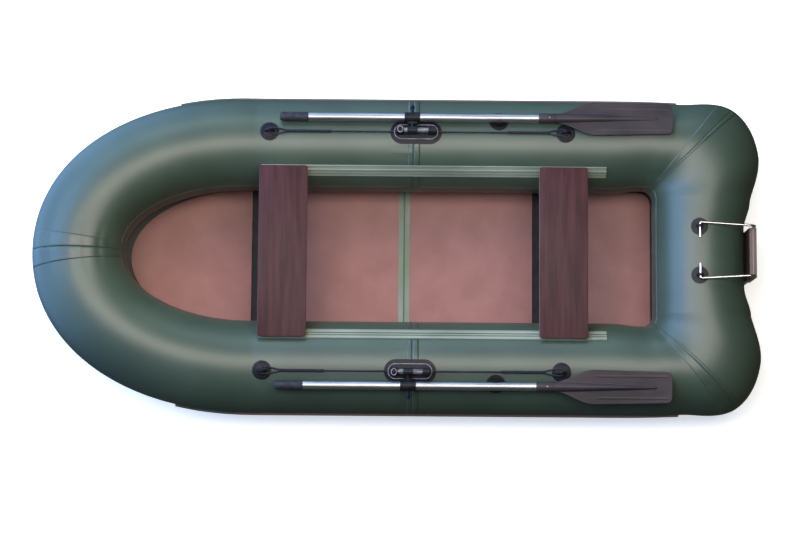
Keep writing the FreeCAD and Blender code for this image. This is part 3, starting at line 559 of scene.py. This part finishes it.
# ---- Seat rails: extruded grey-green PVC, glued along the tubes, with lips and a slotted channel
# that pulls a little out of line between its glued stretches.
rail_pvc, rail_tree, rail_shader = material("extruded_rail_pvc", "#7b8477", 0.5)
rail_place = add_node(rail_tree, "ShaderNodeTexCoord").outputs["Object"]
rail_mix, rail_cloud = wear(rail_tree, rail_place, rail_shader, "#6d766a", "#838c7f", 160.0, (0.5, 1.0, 1.0))
relief(rail_tree, rail_shader, rail_cloud.outputs["Fac"], 0.8, 0.5)
dress(both("seat_rail") + ["front_seat_slides", "rear_seat_slides"], rail_pvc)

# ---- Seats: film-faced plywood, 12 mm, corners rounded and edges eased with a router, then
# sealed. The dark red-brown face is smooth with a faint grain. The edges are paler, partly as the bare ply
# is and partly as a painted highlight on the eased edges.
seat_film, seat_tree, seat_shader = material("smooth_film_faced_plywood", "#3a1d22", 0.46,
                                           Specular_IOR_Level=0.2)
seat_place = add_node(seat_tree, "ShaderNodeTexCoord").outputs["Object"]
wear(seat_tree, seat_place, seat_shader, "#2f1518", "#402226", 60.0, (3.0, 0.25, 1.0), 8.0)
pores = add_node(seat_tree, "ShaderNodeMapping", [(seat_place, "Vector")])
pores.inputs["Scale"].default_value = (1.0, 0.06, 1.0)
grain = add_node(seat_tree, "ShaderNodeTexNoise", [(pores.outputs[0], "Vector")], Scale=500.0, Detail=3.0)
relief(seat_tree, seat_shader, grain.outputs["Fac"], 0.12, 0.5)
# Sides and eased edges get a paler colour: partly the ply's own, partly a painted highlight.
seat_edge_with_painted_highlight, edge_tree, edge_shader = material("ply_edge_with_painted_highlight", "#a38a86", 0.5)
edge_place = add_node(edge_tree, "ShaderNodeTexCoord").outputs["Object"]
wear(edge_tree, edge_place, edge_shader, "#8f7370", "#b09a95", 12.0, (0.3, 0.3, 4.0))


def board(name, node, corner, ease):
    """A board of a CAD node's size, its upright corners rounded and all its edges eased."""
    low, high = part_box(node)
    deselect()
    bpy.ops.mesh.primitive_cube_add(size=1.0, location=(low + high) / 2, scale=high - low)
    piece = bpy.context.object
    piece.name = name
    bpy.ops.object.transform_apply(location=True, rotation=True, scale=True)
    bpy.ops.object.mode_set(mode="EDIT")
    bpy.ops.mesh.select_all(action="DESELECT")
    bpy.ops.mesh.select_mode(type="EDGE")
    bpy.ops.object.mode_set(mode="OBJECT")
    for edge in piece.data.edges:
        ends = [piece.data.vertices[i].co for i in edge.vertices]
        edge.select = abs(ends[0].z - ends[1].z) > (high.z - low.z) / 2
    bpy.ops.object.mode_set(mode="EDIT")
    bpy.ops.mesh.bevel(offset=corner, segments=8)
    bpy.ops.mesh.select_all(action="DESELECT")
    bpy.ops.object.mode_set(mode="OBJECT")
    for face in piece.data.polygons:
        face.select = abs(face.normal.z) > 0.9
    bpy.ops.object.mode_set(mode="EDIT")
    bpy.ops.mesh.select_mode(type="FACE")
    bpy.ops.mesh.region_to_loop()
    bpy.ops.mesh.bevel(offset=ease, segments=3)
    bpy.ops.object.mode_set(mode="OBJECT")
    bpy.ops.object.shade_smooth_by_angle(angle=math.radians(50))
    return piece


for end in ("front", "rear"):
    seat = board(end + "_seat", end + "_seat_board", 0.012, 0.0022)
    seat.data.materials.append(seat_film)
    seat.data.materials.append(seat_edge_with_painted_highlight)
    for face in seat.data.polygons:
        face.material_index = 1 if abs(face.normal.z) < 0.55 else 0
    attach(seat, end + "_seat")
    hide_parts(end + "_seat_board")

# ---- Black mouldings: nylon, with the fine spark-eroded grain of the tool, a little bluish where
# the sky catches it. Hinges, eyes, rests, pads, collars, arms and valves are all of it; the seat slides are
# of the rail PVC.
black_nylon, nylon_tree, nylon_shader = material("moulded_black_nylon", "#121317", 0.46,
                                              Specular_IOR_Level=0.22)
nylon_place = add_node(nylon_tree, "ShaderNodeTexCoord").outputs["Object"]
wear(nylon_tree, nylon_place, nylon_shader, "#0f1014", "#191a20", 25.0)
spark = add_node(nylon_tree, "ShaderNodeTexNoise", [(nylon_place, "Vector")], Scale=900.0, Detail=2.0)
relief(nylon_tree, nylon_shader, spark.outputs["Fac"], 0.15, 0.5)
dress(["front_floor_hinge", "rear_floor_hinge", "bow_eye"]
      + both("oar_rest", "air_valve", "upper_bracket_eye", "lower_bracket_eye", "oarlock_pad", "oar_collar",
             "oarlock_arm"), black_nylon)


# ---- Rope eyes: a round welded patch with a moulded bridge on it, ringed by a raised bead.
def on_tube(piece, degrees, x):
    """Bend a piece modelled flat, with Z up from the skin, round the port tube at an angle."""
    turn = math.radians(degrees)
    for vertex in piece.data.vertices:
        along, across, up = vertex.co
        angle = turn + across / tube_radius
        radius = tube_radius + up
        vertex.co = (x + along, side_line + radius * math.sin(angle), tube_radius + radius * math.cos(angle))
    piece.data.update()
    return piece


def fitting_place(node):
    """Angle outboard of the crest and place along the tube of a port CAD fitting."""
    low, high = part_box(node)
    middle = (low + high) / 2
    return math.degrees(math.atan2(middle.y - side_line, middle.z - tube_radius)), middle.x


def flat_disc(name, radius, thickness, ease):
    """A round plate from Z = 0 up, its top edge eased, with rings enough to bend well."""
    deselect()
    bpy.ops.mesh.primitive_circle_add(vertices=48, radius=radius, fill_type="NGON")
    piece = bpy.context.object
    piece.name = name
    bpy.ops.object.mode_set(mode="EDIT")
    bpy.ops.mesh.select_all(action="SELECT")
    bpy.ops.mesh.extrude_region_move(TRANSFORM_OT_translate={"value": (0, 0, thickness)})
    bpy.ops.mesh.inset(thickness=ease, depth=0.0)
    bpy.ops.transform.translate(value=(0, 0, ease * 0.6))
    for step in (0.3, 0.3, 0.3):
        bpy.ops.mesh.inset(thickness=radius * step, depth=0.0)
    bpy.ops.mesh.merge(type="COLLAPSE")
    bpy.ops.mesh.select_all(action="SELECT")
    bpy.ops.mesh.normals_make_consistent(inside=False)
    bpy.ops.object.mode_set(mode="OBJECT")
    bpy.ops.object.shade_smooth_by_angle(angle=math.radians(40))
    return piece


def flat_ring(name, radius, bead, height, stretch=(1.0, 1.0)):
    """A half-round bead in a ring, lying on Z = height."""
    deselect()
    bpy.ops.mesh.primitive_torus_add(major_radius=radius, minor_radius=bead, major_segments=64,
                                     minor_segments=12, location=(0, 0, height))
    piece = bpy.context.object
    piece.name = name
    piece.scale = (stretch[0], stretch[1], 1.0)
    bpy.ops.object.transform_apply(location=True, rotation=True, scale=True)
    bpy.ops.object.shade_smooth()
    return piece


def rope_bridge(name):
    """Half a ring standing along the boat, flattened, that the rope passes under."""
    deselect()
    bpy.ops.mesh.primitive_torus_add(major_radius=0.0165, minor_radius=0.0055, major_segments=40,
                                     minor_segments=14, rotation=(math.pi / 2, 0, 0))
    piece = bpy.context.object
    piece.name = name
    piece.scale = (1.0, 1.3, 0.72)
    bpy.ops.object.transform_apply(location=True, rotation=True, scale=True)
    for vertex in piece.data.vertices:
        vertex.co.y *= 1.25
        vertex.co.z = max(vertex.co.z, 0.0015) + 0.0015
    bpy.ops.object.shade_smooth()
    return piece


eye_patch_radius = 0.039
for side, sign in (("port_", 1), ("starboard_", -1)):
    low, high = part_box(side + "rope_eyes")
    angle = fitting_place("port_oarlock_bar")[0]
    parts = []
    for x in (high.x - eye_patch_radius, low.x + eye_patch_radius):
        for flat in (flat_disc("patch", eye_patch_radius, 0.0016, 0.0012),
                     flat_ring("bead", 0.0300, 0.0016, 0.0024),
                     flat_disc("boss", 0.0235, 0.0048, 0.0022), rope_bridge("bridge")):
            parts.append(on_tube(flat, angle, x))
    eyes = unite(parts)
    eyes.name = side + "rope_eye_pair"
    if sign < 0:
        for vertex in eyes.data.vertices:
            vertex.co.y = -vertex.co.y
        eyes.data.flip_normals()
    eyes.data.materials.clear()
    eyes.data.materials.append(black_nylon)
    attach(eyes, "hull")
    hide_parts(side + "rope_eyes")


# ---- Oarlock pads: the flange is welded to the tube. A raised bead runs round the moulded body,
# with a round cap at its bow end, and the bar is a nylon-coated tube, greyer where it has rubbed.
def mirror_across(piece):
    """Turn a port piece into its mirror image, in place."""
    for vertex in piece.data.vertices:
        vertex.co.y = -vertex.co.y
    piece.data.flip_normals()


def finish_piece(piece, name, finish, body):
    """Name a piece, give it one material and ride it on a body."""
    piece.name = name
    piece.data.materials.clear()
    piece.data.materials.append(finish)
    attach(piece, body)


bar_grey, bar_tree, bar_shader = material("rubbed_nylon_tube", "#4b4d52", 0.30)
bar_place = add_node(bar_tree, "ShaderNodeTexCoord").outputs["Object"]
bar_mix, bar_cloud = wear(bar_tree, bar_place, bar_shader, "#33353a", "#777a80", 14.0, (0.6, 2.0, 2.0))
relief(bar_tree, bar_shader, bar_cloud.outputs["Fac"], 0.1, 0.4)
dress(both("oarlock_bar"), bar_grey)
fitting_degrees = fitting_place("port_oarlock_bar")[0]

# ---- Grab lines: two strands of black polypropylene laid up together next to each eye, and one
# alone through the pad. Each strand is a cord of fine yarns that wind round it.
rope_yarn, rope_tree, rope_shader = material("laid_polypropylene", "#1a1b22", 0.6, Specular_IOR_Level=0.25)
rope_place = add_node(rope_tree, "ShaderNodeTexCoord").outputs["Object"]
rope_mix, rope_cloud = wear(rope_tree, rope_place, rope_shader, "#121318", "#2c2e38", 6.0)
yarn = add_node(rope_tree, "ShaderNodeTexWave", [(rope_place, "Vector")], bands_direction="DIAGONAL",
                Scale=2 * math.pi / (20.0 * 0.0032), Distortion=1.0)
relief(rope_tree, rope_shader, yarn.outputs["Fac"], 0.5, 0.8)
strand_radius = 0.0033
strand_offset = 0.0031
lay_pitch = 0.017
rope_lie = 0.0068
under_bridge = 0.0063
under_pad = 0.0050
front_twist = 0.250
rear_twist = 0.240
loop_close = 0.070
loop_half_width = 0.016


def smooth_path(points, steps):
    """Points on a smooth curve through the given ones."""
    path = []
    for i in range(len(points) - 1):
        for step in range(steps):
            place = i + step / steps
            path.append(Vector([smooth_between([q[axis] for q in points], place) for axis in range(3)]))
    return path + [Vector(points[-1])]


def sweep(name, path, radius, sides=10):
    """A round cord along a path, closed at both ends."""
    deselect()
    bpy.ops.mesh.primitive_grid_add(x_subdivisions=len(path) - 1, y_subdivisions=sides, size=1.0)
    cord = bpy.context.object
    cord.name = name
    rings = []
    across = None
    for i, place in enumerate(path):
        forward = (path[min(i + 1, len(path) - 1)] - path[max(i - 1, 0)]).normalized()
        across = forward.orthogonal() if across is None else across - forward * across.dot(forward)
        across.normalize()
        rings.append((place, across.copy(), forward.cross(across)))
    for vertex in cord.data.vertices:
        place, one, two = rings[round((vertex.co.x + 0.5) * (len(path) - 1))]
        turn = 2 * math.pi * (vertex.co.y + 0.5)
        vertex.co = place + (one * math.cos(turn) + two * math.sin(turn)) * radius
    bpy.ops.object.mode_set(mode="EDIT")
    bpy.ops.mesh.select_all(action="SELECT")
    bpy.ops.mesh.remove_doubles(threshold=0.00001)
    bpy.ops.mesh.fill_holes(sides=sides)
    bpy.ops.mesh.normals_make_consistent(inside=False)
    bpy.ops.object.mode_set(mode="OBJECT")
    bpy.ops.object.shade_smooth()
    return cord


def looped_end(eye_x, sign, twist):
    """One cord's path: laid from the twist's end, round the eye and laid back."""
    span = twist - loop_close
    count = round(span / lay_pitch * 12)

    def laid(phase, outward):
        run = []
        for i in range(count + 1):
            gone = span * i / count
            turn = phase + 2 * math.pi * gone / lay_pitch
            run.append(Vector((eye_x + sign * (loop_close + gone), strand_offset * math.cos(turn),
                               rope_lie + strand_offset * math.sin(turn))))
        return run if outward else run[::-1]

    close = eye_x + sign * loop_close
    corner = eye_x + sign * 0.010
    loop = smooth_path([(close, strand_offset, rope_lie), (eye_x + sign * 0.040, 0.010, rope_lie),
                        (corner, loop_half_width - 0.002, under_bridge), (eye_x, 0.010, under_bridge),
                        (eye_x, -0.010, under_bridge), (corner, 0.002 - loop_half_width, under_bridge),
                        (eye_x + sign * 0.040, -0.010, rope_lie), (close, -strand_offset, rope_lie)], 6)
    return laid(0.0, False)[:-1] + loop + laid(math.pi, True)[1:]


for side in ("port_", "starboard_"):
    low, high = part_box(side + "rope_eyes")
    pad_low, pad_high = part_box(side + "oarlock_pad")
    front_eye, rear_eye = high.x - eye_patch_radius, low.x + eye_patch_radius
    single = smooth_path([(front_eye - front_twist + 0.004, 0.0, rope_lie),
                          (pad_high.x + 0.030, 0.0, rope_lie),
                          (pad_high.x - 0.010, 0.0, under_pad), (pad_low.x + 0.010, 0.0, under_pad),
                          (pad_low.x - 0.030, 0.0, rope_lie),
                          (rear_eye + rear_twist - 0.004, 0.0, rope_lie)], 14)
    cords = [sweep("cord", looped_end(front_eye, -1, front_twist), strand_radius),
             sweep("cord", looped_end(rear_eye, 1, rear_twist), strand_radius),
             sweep("cord", single, strand_radius)]
    rope = on_tube(unite(cords), fitting_degrees, 0.0)
    if side == "starboard_":
        mirror_across(rope)
    finish_piece(rope, side + "laid_grab_line", rope_yarn, "hull")
    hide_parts(side + "grab_line")

# The pads' raised beads and end caps are added here, paler than the black moulding: a painted highlight
# along their raised edges. The small bright rivets of the blades' sockets come after the blades.
bead_with_painted_highlight, bead_tree, bead_shader = material("moulded_bead_painted_highlight", "#857c86", 0.45)
bead_place = add_node(bead_tree, "ShaderNodeTexCoord").outputs["Object"]
bead_mix, bead_cloud = wear(bead_tree, bead_place, bead_shader, "#6c646e", "#9a929b", 12.0)
relief(bead_tree, bead_shader, bead_cloud.outputs["Fac"], 0.1, 0.4)
pad_body_height = 0.008
bead_half_width = 0.029
bead_radius = 0.0015
flange_margin = 0.017
boss_middle = 0.065
boss_top = 0.0430
cap_radius = 0.0105


def stadium_path(half_length, radius, up):
    """A closed track round a pad, starting half way along a straight."""
    straight = half_length - radius
    path = [Vector((0.0, radius, up)), Vector((straight, radius, up))]
    turns = [t * math.pi / 24 for t in range(25)]
    path += [Vector((straight + radius * math.sin(a), radius * math.cos(a), up)) for a in turns[1:]]
    path += [Vector((-straight - radius * math.sin(a), -radius * math.cos(a), up)) for a in turns]
    return path + [Vector((0.0, radius, up))]


for side in ("port_", "starboard_"):
    low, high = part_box(side + "oarlock_pad")
    middle = (low.x + high.x) / 2
    body_half = (high.x - low.x) / 2 - flange_margin
    rim = sweep("rim", stadium_path(body_half, bead_half_width, pad_body_height), bead_radius)
    on_tube(rim, fitting_degrees, middle)
    cap = on_tube(flat_ring("cap", cap_radius, bead_radius, boss_top), fitting_degrees,
                  middle + boss_middle)
    trim = unite([rim, cap])
    if side == "starboard_":
        mirror_across(trim)
    finish_piece(trim, side + "pad_beads", bead_with_painted_highlight, "hull")

# ---- Oars: satin anodised tube, drawn, so that its marks run lengthwise, and a ribbed rubber grip.
anodised, anodised_tree, anodised_shader = material("satin_anodised_tube", "#b4b6ba", 0.40, 1.0)
anodised_place = add_node(anodised_tree, "ShaderNodeTexCoord").outputs["Object"]
wear(anodised_tree, anodised_place, anodised_shader, "#a3a5aa", "#bfc1c5", 9.0, (0.05, 1.0, 1.0))
drawn = add_node(anodised_tree, "ShaderNodeMapping", [(anodised_place, "Vector")])
drawn.inputs["Scale"].default_value = (0.01, 1.0, 1.0)
draw_marks = add_node(anodised_tree, "ShaderNodeTexNoise", [(drawn.outputs[0], "Vector")], Scale=1400.0)
relief(anodised_tree, anodised_shader, draw_marks.outputs["Fac"], 0.05, 0.4)
dress(both("oar_shaft", "oar_lower_shaft"), anodised)
grip_rubber, grip_tree, grip_shader = material("ribbed_grip_rubber", "#1b1b20", 0.7)
grip_place = add_node(grip_tree, "ShaderNodeTexCoord").outputs["Object"]
wear(grip_tree, grip_place, grip_shader, "#151519", "#28282e", 18.0)
grip_ribs = thread(grip_tree, grip_place, "X", 0.006)
relief(grip_tree, grip_shader, grip_ribs.outputs["Fac"], 0.8, 0.7)
dress(both("oar_grip"), grip_rubber)

# ---- Blades: one moulding of dark glass-filled nylon. The socket runs out into a tapering centre
# rib, two low ribs stiffen the flat, and the edge is rounded all the way.
blade_nylon, blade_tree, blade_shader = material("glass_filled_nylon", "#2c2629", 0.46,
                                               Specular_IOR_Level=0.3)
blade_place = add_node(blade_tree, "ShaderNodeTexCoord").outputs["Object"]
wear(blade_tree, blade_place, blade_shader, "#252023", "#352e31", 70.0, (0.4, 1.0, 1.0), 5.0)
fibres = add_node(blade_tree, "ShaderNodeTexNoise", [(blade_place, "Vector")], Scale=700.0, Detail=3.0)
relief(blade_tree, blade_shader, fibres.outputs["Fac"], 0.2, 0.5)
blade_start, blade_full, blade_end = 0.585, 0.750, 1.065
blade_half, tip_half, root_half = 0.0705, 0.063, 0.0195
tip_corner = 0.022
flat_half_thickness = 0.0030
root_rib, tip_rib, rib_end = 0.0200, 0.0060, 1.015
side_rib_place, side_rib_start = 0.044, 0.750
blade_tilt = math.radians(6.0)
upper_joint = 0.538


def ease(t):
    """0 to 1 and level at both ends."""
    t = min(max(t, 0.0), 1.0)
    return t * t * (3 - 2 * t)


def blade_edge(along):
    """Half width of the blade at a distance from the oarlock arm."""
    if along < blade_full:
        flare = ease((along - blade_start) / (blade_full - blade_start))
        return root_half + (blade_half - root_half) * flare
    half = blade_half + (tip_half - blade_half) * (along - blade_full) / (blade_end - blade_full)
    short = max(0.0, along - (blade_end - tip_corner)) / tip_corner
    return half - tip_corner * (1 - math.sqrt(max(0.0, 1 - short ** 2)))


def blade_rise(along, across, half):
    """Half thickness of the blade at a place on it."""
    rounded = math.sqrt(max(0.0, 1 - max(0.0, (abs(across) - half + 0.003) / 0.003) ** 2))
    thick = flat_half_thickness * rounded
    rib = root_rib + (tip_rib - root_rib) * (along - blade_start) / (rib_end - blade_start)
    rib *= 1 - ease((along - rib_end + 0.02) / 0.02)
    if abs(across) < rib:
        thick = max(thick, math.sqrt(rib ** 2 - across ** 2))
    low_rib = 0.0008 * math.exp(-((abs(across) - side_rib_place) / 0.0030) ** 2)
    low_rib *= ease((along - side_rib_start) / 0.02)
    return thick + low_rib * ease((blade_end - 0.012 - along) / 0.01) * rounded


for side in ("port_", "starboard_"):
    shaft_low, shaft_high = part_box(side + "oar_lower_shaft")
    arm_x = shaft_low.x + upper_joint
    axis_y = abs(shaft_low.y + shaft_high.y) / 2
    axis_z = (shaft_low.z + shaft_high.z) / 2
    faces = []
    for sign in (1, -1):
        deselect()
        bpy.ops.mesh.primitive_grid_add(x_subdivisions=150, y_subdivisions=90, size=1.0)
        flat = bpy.context.object
        for vertex in flat.data.vertices:
            along = blade_start + (blade_end - blade_start) * (vertex.co.x + 0.5)
            half = blade_edge(along)
            across = half * math.sin(math.pi * vertex.co.y)
            up = sign * blade_rise(along, across, half)
            vertex.co = (arm_x - along, axis_y + across * math.cos(blade_tilt) + up * math.sin(blade_tilt),
                         axis_z - across * math.sin(blade_tilt) + up * math.cos(blade_tilt))
        faces.append(flat)
    flat_blade = unite(faces)
    finish_skin(flat_blade)
    socket_end = upper_joint - 0.022
    bpy.ops.mesh.primitive_cylinder_add(vertices=48, radius=root_rib, depth=blade_start - socket_end,
                                        location=(arm_x - (blade_start + socket_end) / 2, axis_y, axis_z),
                                        rotation=(0.0, math.pi / 2, 0.0))
    socket = bpy.context.object
    bpy.ops.object.transform_apply(location=True, rotation=True, scale=True)
    soft = socket.modifiers.new("soft_edges", "BEVEL")
    soft.width = 0.0015
    soft.segments = 3
    bpy.ops.object.modifier_apply(modifier="soft_edges")
    bpy.ops.object.shade_smooth_by_angle(angle=math.radians(40))
    moulding = unite([flat_blade, socket])
    if side == "starboard_":
        mirror_across(moulding)
    finish_piece(moulding, side + "blade_moulding", blade_nylon, side + "oar")
    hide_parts(side + "oar_blade")

# The rivet that holds each socket on its shaft: a low domed head of bright aluminium.
rivet_along = 0.561
rivet_radius = 0.0032
for side in ("port_", "starboard_"):
    shaft_low, shaft_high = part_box(side + "oar_lower_shaft")
    deselect()
    bpy.ops.mesh.primitive_uv_sphere_add(segments=24, ring_count=12, radius=rivet_radius)
    rivet = bpy.context.object
    rivet.scale = (1.0, 1.0, 0.55)
    rivet.location = (shaft_low.x + upper_joint - rivet_along, (shaft_low.y + shaft_high.y) / 2,
                      (shaft_low.z + shaft_high.z) / 2 + root_rib)
    bpy.ops.object.transform_apply(location=True, rotation=True, scale=True)
    bpy.ops.object.shade_smooth()
    finish_piece(rivet, side + "socket_rivet", anodised, side + "oar")

# ---- Motor bracket: plated steel rod, bright with fine draw marks, and a board of two dark
# film-faced plies whose glue line shows paler along the top.
plated, plated_tree, plated_shader = material("bright_plated_steel", "#d9d9dc", 0.12, 1.0)
plated_place = add_node(plated_tree, "ShaderNodeTexCoord").outputs["Object"]
plated_mix, plated_cloud = wear(plated_tree, plated_place, plated_shader, "#c4c4c8", "#e8e8ea", 12.0)
relief(plated_tree, plated_shader, plated_cloud.outputs["Fac"], 0.05, 0.3)
dress(both("bracket_rod"), plated)
board_low, board_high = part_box("motor_board")
glue_x = (board_low.x + board_high.x) / 2
dark_ply, dark_tree, dark_shader = material("dark_film_faced_plywood", "#3a2b2b", 0.38)
dark_place = add_node(dark_tree, "ShaderNodeTexCoord").outputs["Object"]
dark_mix, dark_cloud = wear(dark_tree, dark_place, dark_shader, "#2e2122", "#463436", 30.0,
                            (1.0, 0.2, 1.0), 6.0)
glue = band_mask(dark_tree, dark_place, "X", glue_x - 0.0012, glue_x + 0.0012, 0.0006)
tint(dark_tree, dark_shader, glue, "#8c7670", dark_mix)
relief(dark_tree, dark_shader, dark_cloud.outputs["Fac"], 0.2, 0.4)
dress(["motor_board"], dark_ply)
